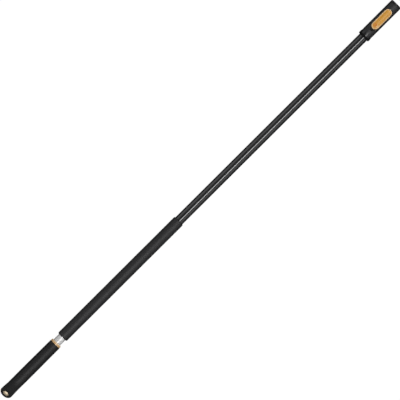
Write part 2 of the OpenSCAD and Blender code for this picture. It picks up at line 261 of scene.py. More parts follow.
# %% Foam
def foam():
    f = Finish("foam_skin", Specular_IOR_Level=0.33)
    pores = f.cells(0.9 * MM).step(0.0, 0.55)
    fine = f.cells(0.35 * MM).step(0.0, 0.6)
    rubbed = f.speckle(22 * MM, 2.0)
    body = f.between(rubbed, (0.0075, 0.0075, 0.0081), (0.0115, 0.0115, 0.0123))
    f.feed("Base Color", f.between(pores * 0.6 + 0.4, (0.0040, 0.0040, 0.0044), body))
    f.feed("Roughness", 0.52 + rubbed * 0.1)
    f.emboss(pores, 0.10 * MM)
    f.emboss(fine, 0.04 * MM)
    return f.material


FINISHES["foam"] = foam()

# %% [markdown]
# ## Soft rubber
# The handle is overmoulded in soft rubber with a fine spark-eroded grain. The grain scatters the
# light, so the highlight is broad and low. A little pale dust stays in the grain, and the heel of
# the hand has rubbed the last few centimetres quite dull. Small Voronoi cells make the grain as
# relief and roughness, because a grain of colour would look printed on.

# %% Rubber
def soft_rubber():
    f = Finish("soft_grip_rubber", Specular_IOR_Level=0.30)
    grain = f.cells(0.42 * MM).step(0.05, 0.7)
    dust = f.speckle(9 * MM, 4.0).step(0.55, 0.8)
    scrubbed = f.x.step(butt + 56 * MM, butt + 36 * MM)
    f.feed("Base Color", f.between(dust * 0.5, (0.0040, 0.0040, 0.0042), (0.0085, 0.0083, 0.0080)))
    f.feed("Roughness", 0.50 + grain * 0.10 + dust * 0.08 + scrubbed * 0.28)
    f.emboss(grain, 0.05 * MM)
    f.emboss(f.speckle(3.5 * MM, 2.0), 0.03 * MM)
    return f.material


FINISHES["grip_rubber"] = soft_rubber()

# %% [markdown]
# ## Moulded nylon
# The tool head is glass-filled nylon. The fibres rise to the skin as short pale flecks that follow
# the flow of the melt, and the mould leaves a faint parting line down each side. Hands have polished
# the head near its skirt, and the thumb scoop is darkened with painted shade. Noise that is
# stretched along the pole draws the flecks. The painted shade and the polish are soft steps on a
# distance, so that they stay round the scoop and near the skirt.

# %% Head plastic
def moulded_nylon(name, dark, light, rough, shine=0.5):
    f = Finish(name, Specular_IOR_Level=shine)
    f.ease_edges(0.35 * MM)
    fibres = f.speckle(0.5 * MM, 2.0, f.stretched(0.35, 1.0)).step(0.5, 0.75)
    cloud = f.speckle(14 * MM, 2.0)
    f.tint = f.between(fibres * 0.6 + cloud * 0.4, dark, light)
    f.rough = rough + cloud * 0.08 - fibres * 0.05
    f.feed("Base Color", f.tint)
    f.feed("Roughness", f.rough)
    f.emboss(f.speckle(0.30 * MM, 2.0), 0.012 * MM)
    parting = 1 - f.z.absolute().step(0.08 * MM, 0.22 * MM)
    f.emboss(parting, 0.04 * MM)
    return f


def head_nylon():
    """The head's black nylon: polished by hands near the skirt, with painted shade in the scoop."""
    f = moulded_nylon("black_glass_nylon", (0.0060, 0.0060, 0.0065), (0.0105, 0.0105, 0.0112), 0.56, 0.42)
    scoop = f.away_from(scoop_at, 0)
    # Painted shade: the base colour in the scoop is darkened towards near-black.
    scoop_shade = scoop.step(7.6 * MM, 5.6 * MM) * f.z.step(0, 1 * MM)
    polish = f.x.step(head_start + 20 * MM, head_start + 10 * MM)
    f.feed("Base Color", f.between(scoop_shade * 0.9, f.tint, (0.002, 0.002, 0.002)))
    f.feed("Roughness", f.rough - polish * 0.26 + scoop_shade * 0.22)
    return f.material


FINISHES["head_plastic"] = head_nylon()
FINISHES["nylon"] = moulded_nylon("natural_nylon", (0.62, 0.60, 0.54), (0.72, 0.70, 0.66), 0.45).material

# %% [markdown]
# ## Gold plastic
# Button and collar are moulded in gold plastic with a satin, slightly pearly skin. Thumbs polish what
# stands proud, so the button's raised rim is smoother than its face. The rim and the collar's
# shoulder are painted paler as a painted highlight along their rounded edges, and the thumb dimple
# carries painted shade on one side and a painted highlight on its lower wall. The end plug is paler
# still: a thin metallised skin covers its plastic. So the plug alone is partly metallic, and the
# other two get their depth from slow changes of colour.

# %% Gold plastic
GOLD_FACE = (0.450, 0.223, 0.030)
GOLD_DEEP = (0.410, 0.189, 0.020)
# Pale gold of the painted highlights on the button's rim and on the dimple's lower wall
GOLD_HIGHLIGHT = (0.560, 0.380, 0.200)
GOLD_PALE = (0.400, 0.252, 0.108)


def gold_plastic(name, face=GOLD_FACE, deep=GOLD_DEEP, rough=0.42, shine=0.35):
    f = Finish(name, Specular_IOR_Level=shine)
    flow = f.speckle(11 * MM, 3.0)
    f.tint = f.between(flow, deep, face)
    f.feed("Base Color", f.tint)
    f.feed("Roughness", rough + flow * 0.10)
    f.emboss(f.speckle(0.12 * MM, 2.0, f.stretched(0.5, 1.0)), 0.004 * MM)
    return f


def button_gold():
    """The button's gold: a rim painted pale as a painted highlight, and a thumb dimple with painted shade on one
    side and a painted highlight on the other.
    """
    f = gold_plastic("gold_button")
    rim_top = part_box("release_button")[1].z - AXIS
    # Painted highlight: the rim is painted paler along its rounded edge.
    rim = f.radial().step(rim_top - 0.85 * MM, rim_top - 0.45 * MM)
    # Painted shade: a deeper, darker orange in the thumb dimple.
    dimple_shade = f.away_from(dimple_at + 1 * MM, 1.2 * MM, 0.84).step(6.5 * MM, 2.5 * MM)
    # Painted highlight: a paler spot on the dimple's lower wall.
    rubbed = f.away_from(dimple_at + 1.5 * MM, -5.6 * MM, 0.7).step(4.2 * MM, 1.6 * MM)
    dimple_shade_and_highlight = f.between(rubbed * 0.6, f.between(dimple_shade, f.tint, (0.375, 0.125, 0.004)), GOLD_HIGHLIGHT)
    f.feed("Base Color", f.between(rim, dimple_shade_and_highlight, GOLD_HIGHLIGHT))
    f.feed("Roughness", 0.44 + f.speckle(11 * MM, 3.0) * 0.08 - rim * 0.08 + dimple_shade * 0.10)
    return f.material


def collar_gold():
    """The core's gold, painted paler on the collar's shoulder as a painted highlight where its rounding catches
    the light.
    """
    f = gold_plastic("gold_plastic", GOLD_PALE, (0.360, 0.212, 0.080), 0.29, 0.8)
    # Painted highlight: the shoulder is painted paler towards the collar's top.
    rubbed = f.x.step(collar_end - 2.8 * MM, collar_end - 0.8 * MM)
    f.feed("Base Color", f.between(rubbed, f.tint, (0.590, 0.445, 0.285)))
    return f.material


def plug_gold():
    """The end plug's gold skin: a thin metallised layer, scuffed where the butt meets the ground."""
    f = Finish("gold_metallised", Metallic=0.55, Specular_IOR_Level=0.8)
    scuff = f.speckle(0.5 * MM, 3.0, f.stretched(1.0, 0.25)).step(0.55, 0.8)
    f.feed("Base Color", f.between(scuff, (0.655, 0.540, 0.380), (0.510, 0.395, 0.250)))
    f.feed("Roughness", 0.26 + scuff * 0.22)
    f.emboss(scuff, 0.008 * MM)
    return f.material


FINISHES["gold_plastic"] = collar_gold()
GOLD_BUTTON, GOLD_PLUG = button_gold(), plug_gold()

# %% [markdown]
# ## Aluminium, steel and zinc
# The inner tube is drawn and clear anodised: die lines run along it, and a black ring marks how far
# it may be drawn out. Pins and screws are plated steel, and the thread is cast zinc. One function
# makes them all, from the direction of the grain and how open it is.

# %% Bare metals
def bare_metal(name, colour, rough, along, across, edge=0.2, metallic=1.0):
    f = Finish(name, Metallic=metallic)
    f.ease_edges(edge * MM)
    grain = f.speckle(0.35 * MM, 3.0, f.stretched(along, across))
    stain = f.speckle(18 * MM, 3.0)
    dull = tuple(channel * 0.82 for channel in colour)
    f.tint = f.between(stain * 0.6 + grain * 0.4, dull, colour)
    f.feed("Base Color", f.tint)
    f.feed("Roughness", rough + grain * 0.10 + stain * 0.06)
    f.emboss(grain, 0.004 * MM)
    return f


def drawn_tube():
    """The inner tube; its black ring comes out at the foam's foot when the pole is at its longest."""
    f = bare_metal("drawn_aluminium", (0.56, 0.56, 0.56), 0.34, 0.012, 1.0, 0.1)
    travel = frame["joints"][0]["range_m"][1]
    mark = (f.x - (foam_start + travel)).absolute().step(2.2 * MM, 1.9 * MM)
    metallic = 0.36
    f.feed("Base Color", f.between(mark, f.tint, (0.02, 0.02, 0.02)))
    f.feed("Metallic", metallic - mark * metallic)
    return f.material


FINISHES["bare_aluminium"] = drawn_tube()
FINISHES["steel"] = bare_metal("plated_steel", (0.66, 0.67, 0.69), 0.24, 1.0, 0.2, metallic=0.85).material
zinc = bare_metal("cast_zinc", (0.66, 0.67, 0.68), 0.36, 1.0, 1.0, 0.1, metallic=0.6)
FINISHES["thread_metal"] = zinc.material

# %% [markdown]
# The record names one material slot for each CAD node. Each slot has its finish now, and every node
# takes the one that its slot names, so nothing is left in a flat colour.

# %% Give every CAD node its finish
slot_of = {part["node"]: part["material_slot"] for part in frame["record"]["subparts"]}
for name, node in frame["nodes"].items():
    node.data.materials.clear()
    node.data.materials.append(FINISHES[slot_of[name]])
print(len(FINISHES), "finishes on", len(frame["nodes"]), "nodes")

# %% [markdown]
# ## Mesh helpers
# Nearly every piece is built from rings of points that are bridged into quads. Modifiers could
# round a rough block, but rings put every point where a size says. `Skin` collects the rings, and
# `piece` makes the object, hangs it on its body and hides the CAD nodes that it stands for.

# %% Mesh helpers: a skin and a piece
class Skin:
    """Points and faces of one piece, in metres."""

    def __init__(self):
        self.points, self.faces = [], []

    def ring(self, points):
        """Adds a row of points and gives back their numbers."""
        first = len(self.points)
        self.points.extend(points)
        return list(range(first, len(self.points)))

    def bridge(self, a, b):
        """Joins two rings of the same count with quads."""
        for i in range(len(a)):
            j = (i + 1) % len(a)
            self.faces.append((a[i], a[j], b[j], b[i]))

    def bridge_all(self, rings, closed=False):
        for a, b in zip(rings, rings[1:]):
            self.bridge(a, b)
        if closed:
            self.bridge(rings[-1], rings[0])


def piece(name, skin, body, slot, stands_for, finish=None, crease=38):
    """Makes the mesh object, heals its seams, hangs it on its body's empty, gives it its finish (the slot's unless
    one is given) and hides the CAD nodes that it stands for.
    """
    mesh = bpy.data.meshes.new(name)
    mesh.from_pydata(skin.points, [], skin.faces)
    work = bmesh.new()
    work.from_mesh(mesh)
    bmesh.ops.remove_doubles(work, verts=work.verts, dist=0.002 * MM)
    bmesh.ops.dissolve_degenerate(work, edges=work.edges, dist=0.001 * MM)
    bmesh.ops.delete(work, geom=[v for v in work.verts if not v.link_faces], context="VERTS")
    bmesh.ops.recalc_face_normals(work, faces=work.faces)
    work.to_mesh(mesh)
    work.free()
    mesh.shade_smooth()
    mesh.set_sharp_from_angle(angle=math.radians(crease))
    made = bpy.data.objects.new(name, mesh)
    bpy.context.collection.objects.link(made)
    mesh.materials.append(finish or FINISHES[slot])
    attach(made, body)
    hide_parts(*stands_for)
    print(f"{name}: {len(mesh.polygons)} faces")
    return made


print("skins ready")

# %% [markdown]
# Round pieces come from a profile. `around` makes one ring about the pole's axis, `rounded` puts an
# arc on each corner of a profile that asks for one, and `lathe` turns the whole profile.

# %% Mesh helpers: rings and profiles
AROUND = 128


def around(x, r, count=AROUND, turn=0.0):
    """A ring about the pole's axis; r is a radius or a function of the angle from the top."""
    points = []
    for i in range(count):
        angle = 2 * math.pi * i / count + turn
        reach = r(angle) if callable(r) else r
        points.append(Vector((x, reach * math.sin(angle), AXIS + reach * math.cos(angle))))
    return points


def rounded(profile, steps):
    """Replaces each corner (x, r, radius) of a closed profile by an arc-like curve."""
    done = []
    for i, (x, r, size) in enumerate(profile):
        corner = Vector((x, r))
        before = Vector(profile[i - 1][:2])
        after = Vector(profile[(i + 1) % len(profile)][:2])
        if not size:
            done.append((x, r))
            continue
        start = corner + (before - corner).normalized() * size
        end = corner + (after - corner).normalized() * size
        for k in range(steps + 1):
            t = k / steps
            weight = 2 * t * (1 - t) * 0.72
            total = (1 - t) ** 2 + weight + t ** 2
            point = (start * (1 - t) ** 2 + corner * weight + end * t ** 2) / total
            done.append((point.x, point.y))
    return done


def lathe(profile):
    """A closed profile of (x, r) points turned about the pole's axis."""
    skin = Skin()
    skin.bridge_all([skin.ring(around(x, r)) for x, r in profile], closed=True)
    return skin


def soft_step(value, low, high):
    """The same soft step as a signal's, for shapes."""
    t = min(1.0, max(0.0, (value - low) / (high - low)))
    return t * t * (3 - 2 * t)


print("rings and profiles ready,", AROUND, "points round")

# %% [markdown]
# ## The two tubes
# A tube is two walls and two cut ends with a broken edge. Turning the profile keeps both walls
# truly round, which matters here: a glossy tube shows every facet as a kink in its highlight.

# %% Tubes
def tube(name, node, wall, body):
    start, end = span(node)
    r = radius(node)
    edge = 0.25 * MM
    profile = [(start, r, edge), (end, r, edge), (end, r - wall, edge), (start, r - wall, edge)]
    return piece(name, lathe(rounded(profile, 3)), body, slot_of[node], [node])


tube("outer_tube_coated", "outer_tube", 1.05 * MM, "outer_pole")
tube("inner_tube_drawn", "inner_tube", 1.1 * MM, "inner_pole")

# %% [markdown]
# ## Foam grip
# The sleeve is blown foam that is pushed on with air, so it is never perfectly straight: it swells
# and thins by a tenth of a millimetre or so. A cloth simulation would be lost on foam this firm, so
# slow noise moves each ring's radius, always inwards from the CAD's size. The ends are rounded by
# the heat that cuts them.

# %% Foam grip
def foam_sleeve():
    bush_end = span("guide_bush")[1]
    r, bore, step = radius("foam_grip"), tube_r + 0.02 * MM, radius("guide_bush") + 0.02 * MM
    corner, stations = 3.2 * MM, 220
    slow, quick = 0.11 * MM, 0.05 * MM
    outline = rounded([(foam_start, step, 0.4 * MM), (foam_start, r, corner), (foam_end, r, corner),
                       (foam_end, bore, 0.4 * MM), (bush_end, bore, 0), (bush_end, step, 0)], 10)
    top = [p for p in outline if p[1] > r - 0.01 * MM]
    first, last = outline.index(top[0]), outline.index(top[-1])
    fill = [(top[0][0] + (top[-1][0] - top[0][0]) * k / stations, r) for k in range(1, stations)]
    skin, rings = Skin(), []
    for x, base in outline[: first + 1] + fill + outline[last:]:
        outside = soft_step(base, bore + 0.8 * MM, r)

        def reach(angle, x=x, base=base, outside=outside):
            here = Vector((x * 28, math.sin(angle) * 0.5, math.cos(angle) * 0.5))
            fine = Vector((x * 160, math.sin(angle) * 2.2, math.cos(angle) * 2.2))
            swell = noise.noise(here) * slow + noise.noise(fine) * quick
            return base + outside * (swell - slow - quick)

        rings.append(skin.ring(around(x, reach)))
    skin.bridge_all(rings, closed=True)
    return piece("foam_grip_sleeve", skin, "outer_pole", "foam", ["foam_grip"])


sleeve = foam_sleeve()

# %% [markdown]
# ## Rubber handle
# The handle swells a little towards the butt, more on one side, and ends in a face that is cut at
# a slant so that the heel of the hand can push on it. Each generator line of the handle runs to the
# slanted plane, and a curve rolls it over the rim on to the face, which keeps the rim's roundness
# even all the way round the ellipse.

# %% Rubber handle
SLANT = math.radians(33)
FACE_INSET = 9.2 * MM
SLIM_R, GIRTH_GAIN, WAIST = 15.6 * MM, 0.4 * MM, 0.15 * MM
FLARE_LEFT, FLARE_RIGHT, FLARE_TOP = 1.33, 0.60, 0.25
face_centre = Vector((butt + FACE_INSET, 0, AXIS))
face_out = Vector((-math.cos(SLANT), 0, math.sin(SLANT)))
face_up = Vector((math.sin(SLANT), 0, math.cos(SLANT)))
face_side = Vector((0, 1, 0))
plug_r = 8.2 * MM


def handle_radius(x, angle):
    """Radius of the handle at a station; the angle is measured from the top towards +Y."""
    slim = SLIM_R + GIRTH_GAIN * soft_step(grip_end - x, 0, 90 * MM)
    waist = WAIST * soft_step(butt - x, -70.6 * MM, -45.6 * MM)
    side, up = math.sin(angle), math.cos(angle)
    flare = FLARE_LEFT * max(side, 0) ** 2 + FLARE_RIGHT * max(-side, 0) ** 2 + FLARE_TOP * up ** 2
    reach = slim - waist + flare * MM * soft_step(butt - x, -37.6 * MM, -11.6 * MM)
    return min(reach, (AXIS - 0.02 * MM) / -up) if up < -1e-6 else reach


def on_side(x, angle):
    r = handle_radius(x, angle)
    return Vector((x, r * math.sin(angle), AXIS + r * math.cos(angle)))


def slanted_rim(angles):
    """Where each generator line meets the slanted plane; a few rounds settle on the station."""
    corners = []
    for angle in angles:
        x = face_centre.x
        for _ in range(6):
            x = face_centre.x + math.tan(SLANT) * (on_side(x, angle).z - AXIS)
        corners.append(on_side(x, angle))
    return corners


def rubber_handle():
    skin, angles = Skin(), [2 * math.pi * i / AROUND for i in range(AROUND)]
    roll, lip, bore = 3.8 * MM, 0.5 * MM, radius("handle_core") - 1.7 * MM
    long_rows, rim_rows, edge, front_r = 60, 12, 0.5 * MM, 15.0 * MM
    corners = slanted_rim(angles)
    starts = [on_side(c.x + roll, a) for c, a in zip(corners, angles)]
    ends = [c + (face_centre - c).normalized() * roll * 0.85 for c in corners]
    rows = [skin.ring(around(grip_end, front_r))]
    rows.append(skin.ring([on_side(grip_end - 0.15 * MM, a) - Vector((0, math.sin(a), math.cos(a))) * 0.2 * MM
                           for a in angles]))
    for k in range(long_rows):
        share = k / (long_rows - 1)
        rows.append(skin.ring([on_side(grip_end - edge + (s.x - grip_end + edge) * share, a)
                               for s, a in zip(starts, angles)]))
    for k in range(1, rim_rows + 1):
        t = k / rim_rows
        rows.append(skin.ring([s * (1 - t) ** 2 + c * 2 * t * (1 - t) + e * t ** 2
                               for s, c, e in zip(starts, corners, ends)]))
    hole = [face_centre + (face_up * math.cos(a) + face_side * math.sin(a)) * (plug_r + 0.25 * MM)
            for a in angles]
    rims = [h + (h - face_centre).normalized() * lip for h in hole]
    for t in (0.35, 0.7, 1.0):
        rows.append(skin.ring([e.lerp(r, t) for e, r in zip(ends, rims)]))
    rows.append(skin.ring([h.lerp(r, 0.3) - face_out * 0.15 * MM for h, r in zip(hole, rims)]))
    rows.append(skin.ring([h - face_out * lip for h in hole]))
    rows.append(skin.ring([h - face_out * 4 * MM for h in hole]))
    rows.append(skin.ring(around(span("handle_core")[0] + 8 * MM, bore)))
    rows.append(skin.ring(around(grip_end, bore)))
    skin.bridge_all(rows, closed=True)
    return piece("rubber_handle", skin, "inner_pole", "grip_rubber", ["handle_grip"], crease=50)


rubber_handle()

# %% [markdown]
# ## End plug
# A gold cap closes the butt. It is a shallow dome with a fine step round it, pressed square to the
# slanted face, so its profile is turned about the face's own axis.

# %% End plug
def about_face(distance, r):
    """A ring square to the butt's face, a distance proud of it."""
    centre, count = face_centre + face_out * distance, 96
    angles = [2 * math.pi * i / count for i in range(count)]
    return [centre + (face_up * math.cos(a) + face_side * math.sin(a)) * r for a in angles]


def end_plug():
    """The plug's neck, its step and its dome, as (height, radius) in millimetres."""
    skin, dome_r, dome_height, step = Skin(), 7.4, 2.1, 0.3
    outline = [(-6.0, 0.1), (-6.0, 7.8), (-0.6, 7.9), (0.0, 7.85), (step, 7.6)]
    outline += [(step + dome_height * (1 - (r / dome_r) ** 2), r)
                for r in (dome_r, 7.0, 6.4, 5.6, 4.6, 3.5, 2.3, 1.1, 0.1)]
    rings = [skin.ring(about_face(height * MM, r * MM)) for height, r in outline]
    skin.bridge_all(rings)
    skin.faces.append(tuple(rings[0]))
    skin.faces.append(tuple(reversed(rings[-1])))
    return piece("end_plug_cap", skin, "inner_pole", "gold_plastic", ["end_plug"], GOLD_PLUG, crease=60)


end_plug()

# %% [markdown]
# ## Release button
# The button is a long stadium that follows the head's curve. It has a proud rounded rim, a sunken
# face and a thumb dimple near its lower end. A subdivided block would pull its straight sides out of
# true. Rings that are offset inwards from the stadium's edge follow its shape exactly, down to the
# line where they meet in the middle.

# %% Release button
button_low, button_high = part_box("release_button")
half_width = (button_high.y - button_low.y) / 2
# Outside of the head and inside of the cup round the thread
HEAD_R, CUP_R = 16 * MM, 13 * MM
crown_r = HEAD_R + 0.3 * MM
underside = 9.0 * MM
stud_foot, stud_tip = span("threaded_stud")
cup_start = stud_foot + 23 * MM


def stadium_spokes(half, straight, curved):
    """(middle point, outward direction) of each spoke of the button's stadium, clockwise from its low end."""
    left, right = button_low.x + half, button_high.x - half
    spokes = [(left + (right - left) * k / straight, Vector((0, 1))) for k in range(straight)]
    for k in range(curved):
        angle = math.pi / 2 - math.pi * k / curved
        spokes.append((right, Vector((math.cos(angle), math.sin(angle)))))
    spokes += [(right + (left - right) * k / straight, Vector((0, -1))) for k in range(straight)]
    for k in range(curved):
        angle = -math.pi / 2 - math.pi * k / curved
        spokes.append((left, Vector((math.cos(angle), math.sin(angle)))))
    return spokes


def crown(y, drop):
    """Height above the axis of the button's crowned face, sunk by drop."""
    return math.sqrt((crown_r - drop) ** 2 - y * y)


def button_top(x, y, inset):
    """Height of the button's upper skin above the axis, by distance in from its edge."""
    edge = 1.0 * MM
    roll = edge - math.sqrt(max(0.0, edge ** 2 - (edge - min(inset, edge)) ** 2))
    sunk = 0.85 * MM * soft_step(inset, 1.45 * MM, 2.5 * MM)
    away = math.hypot((x - dimple_at) / 1.15, y)
    dimple = 1.15 * MM * (1 - soft_step(away, 0.4 * MM, 5.6 * MM))
    return crown(y, sunk) - roll - dimple


def button_bottom(x, y, inset):
    """Height of the button's lower skin: arched over the cup, hollow where the spring pushes."""
    arch = math.sqrt(max(0.0, (CUP_R + 0.7 * MM) ** 2 - y * y))
    over_cup = max(0.0, arch - underside) * soft_step(x, cup_start - 1.0 * MM, cup_start - 0.4 * MM)
    hollow = 2.4 * MM * soft_step(inset, 1.2 * MM, 1.9 * MM)
    return underside + over_cup + hollow * (1 - soft_step(x, button_low.x + 13 * MM, button_low.x + 15 * MM))


def button_cap():
    """Rings from the lower skin's middle out to the edge and back over the top, closest at the rim."""
    skin, spokes = Skin(), stadium_spokes(half_width, 60, 40)

    def row(inset, height):
        points = []
        for middle, out in spokes:
            x = middle + out.x * (half_width - inset)
            y = out.y * (half_width - inset)
            points.append(Vector((x, y, AXIS + height(x, y, inset))))
        return skin.ring(points)

    low = [row(min(i * MM, half_width), button_bottom) for i in (11, 9, 7, 5, 3, 1.9, 1.2, 0.3)]
    low.append(row(0.0, lambda x, y, inset: button_bottom(x, y, inset) + 0.3 * MM))
    insets = [0, 0.03, 0.12, 0.27, 0.47, 0.72, 1.0, 1.25, 1.45, 1.65, 1.85, 2.05, 2.25, 2.5, 3, 3.6, 4.2, 4.9,
              5.6, 6.4, 7.2, 8, 9, 10, 11]
    high = [row(min(i * MM, half_width), button_top) for i in insets]
    skin.bridge_all(low + high)
    return skin


piece("release_button_cap", button_cap(), "button", "gold_plastic", ["release_button"],
      GOLD_BUTTON, crease=55)

# %% [markdown]
# ## Tool thread
# The stud carries a coarse right-hand trapezoid thread, five turns to the inch. A Screw modifier
# could sweep it, but would leave both of its ends cut off square. Here the radius is a wave in the
# helix's phase, flat at crest and root, so it can run out into the relief groove at the bulkhead
# and be chamfered away at the tip.

# %% Tool thread
SHANK_R = 5 * MM


def thread():
    neck, pitch, crest_r, depth = cup_start + 1.5 * MM, 25.4 * MM / 5, radius("threaded_stud"), 2.3 * MM
    skin, count, steps = Skin(), 96, 150
    root, crest = 0.36, 0.62
    foot = [(stud_foot, 0.05 * MM), (stud_foot, SHANK_R), (cup_start, SHANK_R), (cup_start, 7.6 * MM)]
    rings = [skin.ring(around(x, r, count)) for x, r in foot]
    for k in range(steps + 1):
        x = neck + (stud_tip - neck) * k / steps

        def reach(angle, x=x):
            phase = (x / pitch + angle / (2 * math.pi)) % 1.0
            wave = soft_step(abs(phase - 0.5) * 2, root, crest)
            fade = soft_step(x, neck, neck + 1.6 * MM)
            lead = max(0.0, x - (stud_tip - 2 * MM))
            return min(crest_r - depth * (1 - wave * fade), crest_r - lead)

        rings.append(skin.ring(around(x, reach, count)))
    rings += [skin.ring(around(stud_tip, r * MM, count)) for r in (6.9, 6.6, 0.05)]
    skin.bridge_all(rings)
    skin.faces += [tuple(rings[0]), tuple(rings[-1])]
    return piece("threaded_stud_cut", skin, "outer_pole", "thread_metal", ["threaded_stud"], crease=45)


thread()

# %% [markdown]
# ## Head shell
# The head is one moulding: a skirt that flares out over the tube, a pocket for the button, a scoop
# that leads the thumb on to it, and a cup that hides the thread. Its skin is laid out like the
# rings round a pond. The first ring is the pocket's rim, the last one unrolls to the two ends and
# the underside, and every ring between is a blend of the two. A Boolean could cut the pocket, but
# would leave a ragged edge in the shading. This way the fillet round it is real geometry and follows
# the stadium exactly.

# %% Head shell: its radius and its scoop
POCKET_GAP, POCKET_FLOOR, FILLET, SKIRT_FLARE = 1.3 * MM, 8.4 * MM, 0.7 * MM, 0.88 * MM
grid_start, grid_end = head_start + 7 * MM, head_end - 0.15 * MM
lip_end = head_start + 5.5 * MM
SPIGOT_R = 14.3 * MM
rivet_x = sum(corner.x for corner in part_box("tip_rivets")) / 2
stud_pin_x = sum(corner.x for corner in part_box("stud_pin")) / 2
SCOOP_R, SCOOP_DEPTH = 6.4 * MM, 5 * MM


def on_floor(reach, angle):
    """Keeps a radius above the floor, on the narrow flat that the pole rests on."""
    return min(reach, AXIS / -math.cos(angle)) if math.cos(angle) < -0.8 else reach


def head_radius(x, angle):
    """The head's outside radius: skirt, the lip's seat, flat underside, rivet seats and pin holes."""
    reach = HEAD_R + SKIRT_FLARE * (1 - soft_step(x, head_start + 4.8 * MM, head_start + 13 * MM))
    reach -= 1.6 * MM * (1 - soft_step(x, lip_end - 0.1 * MM, lip_end + 0.3 * MM))
    for centre, size, depth in ((rivet_x, 3.5 * MM, 1.4 * MM), (stud_pin_x, 2.0 * MM, 0.7 * MM)):
        away = math.hypot(x - centre, reach * (abs(angle) - math.pi / 2))
        reach -= depth * (1 - soft_step(away, size - 0.25 * MM, size + 0.25 * MM))
    return on_floor(reach, angle)


def soft_least(a, b, blend):
    """The smaller of two heights, with a fillet where they cross."""
    mix = min(1.0, max(0.0, 0.5 + (a - b) / (2 * blend)))
    return a + (b - a) * mix - blend * mix * (1 - mix)


def head_point(x, angle, drop=0.0):
    """A point of the head's skin, or below it by drop, with the scoop sunk into it."""
    reach = head_radius(x, angle) - drop
    y, z = reach * math.sin(angle), reach * math.cos(angle)
    across = (x - scoop_at) ** 2 + y * y
    if z > 0 and across < SCOOP_R ** 2:
        bowl = HEAD_R - SCOOP_DEPTH + SCOOP_R - math.sqrt(SCOOP_R ** 2 - across)
        z = soft_least(z, bowl, 0.5 * MM)
    return Vector((x, y, AXIS + z))


print(f"head radius {HEAD_R / MM:.1f} mm; rivets at {rivet_x:.3f} m, stud pin at {stud_pin_x:.3f} m")

# %% Head shell: the skin
def head_shell():
    """The outside, the pocket and the skirt; add_cup makes the inside of the tool end."""
    skin, across, along = Skin(), 160, 150
    fillet_rows, skin_rows, skirt_rows = 6, 52, 30
    spring_shelf, shelf_end = 2.4 * MM, button_low.x + 22 * MM
    half = half_width + POCKET_GAP
    spokes = stadium_spokes(half_width, along, across)
    edge = [(grid_start + (grid_end - grid_start) * k / along, math.pi) for k in range(along)]
    edge += [(grid_end, math.pi - 2 * math.pi * k / across) for k in range(across)]
    edge += [(grid_end + (grid_start - grid_end) * k / along, -math.pi) for k in range(along)]
    edge += [(grid_start, -math.pi + 2 * math.pi * k / across) for k in range(across)]

    def rim(offset, drop):
        points = []
        for middle, out in spokes:
            angle = math.asin(out.y * offset / HEAD_R)
            points.append(head_point(middle + out.x * offset, angle, drop))
        return points

    def floor(offset):
        points = []
        for middle, out in spokes:
            x, y = middle + out.x * offset, out.y * offset
            rise = soft_step(x, shelf_end - 0.5 * MM, shelf_end + 0.5 * MM)
            z = POCKET_FLOOR - spring_shelf * (1 - rise)
            if x > cup_start:
                z = math.sqrt(CUP_R ** 2 - y * y) - 0.2 * MM
            points.append(Vector((x, y, AXIS + z)))
        return points

    pocket = [skin.ring(floor(d)) for d in (0, 3 * MM, 6 * MM, 9 * MM, half)]
    for inner, outer in zip(pocket, pocket[1:]):
        first = len(skin.faces)
        skin.bridge(inner, outer)
        skin.faces[first:] = [f for f in skin.faces[first:] if max(skin.points[i].x for i in f) < cup_start]
    rows = [pocket[-1], skin.ring(rim(half, 3 * MM))]
    for k in range(fillet_rows + 1):
        turn = math.pi / 2 * k / fillet_rows
        rows.append(skin.ring(rim(half + FILLET * (1 - math.cos(turn)), FILLET * (1 - math.sin(turn)))))
    inside = [(m + o.x * (half + FILLET), math.asin(o.y * (half + FILLET) / HEAD_R)) for m, o in spokes]
    for k in range(1, skin_rows + 1):
        t = (k / skin_rows) ** 1.15
        rows.append(skin.ring([head_point(a[0] + (b[0] - a[0]) * t, a[1] + (b[1] - a[1]) * t)
                               for a, b in zip(inside, edge)]))
    skin.bridge_all(rows)

    def band(x):
        return skin.ring([head_point(x, math.pi - 2 * math.pi * k / across) for k in range(across)])

    bore, foot, stop = tube_r + 0.03 * MM, head_start + 0.4 * MM, span("outer_tube")[1] - 0.1 * MM
    socket = [(stop, 0.1 * MM), (stop, bore), (foot, bore), (foot, bore + 0.5 * MM)]
    skirt = [skin.ring(around(x, r, across, math.pi)) for x, r in socket]
    skirt += [band(foot + (grid_start - foot) * k / skirt_rows) for k in range(skirt_rows + 1)]
    skin.bridge_all(skirt)
    skin.faces.append(tuple(skirt[0]))
    return skin, across, half


shell, shell_round, pocket_half = head_shell()
print(f"head shell: {len(shell.faces)} faces, still without the cup")

# %% [markdown]
# The cup at the tool end is turned, apart from one place: the button reaches in over the thread, so
# the faces of the cup's wall that lie under the pocket are left out.

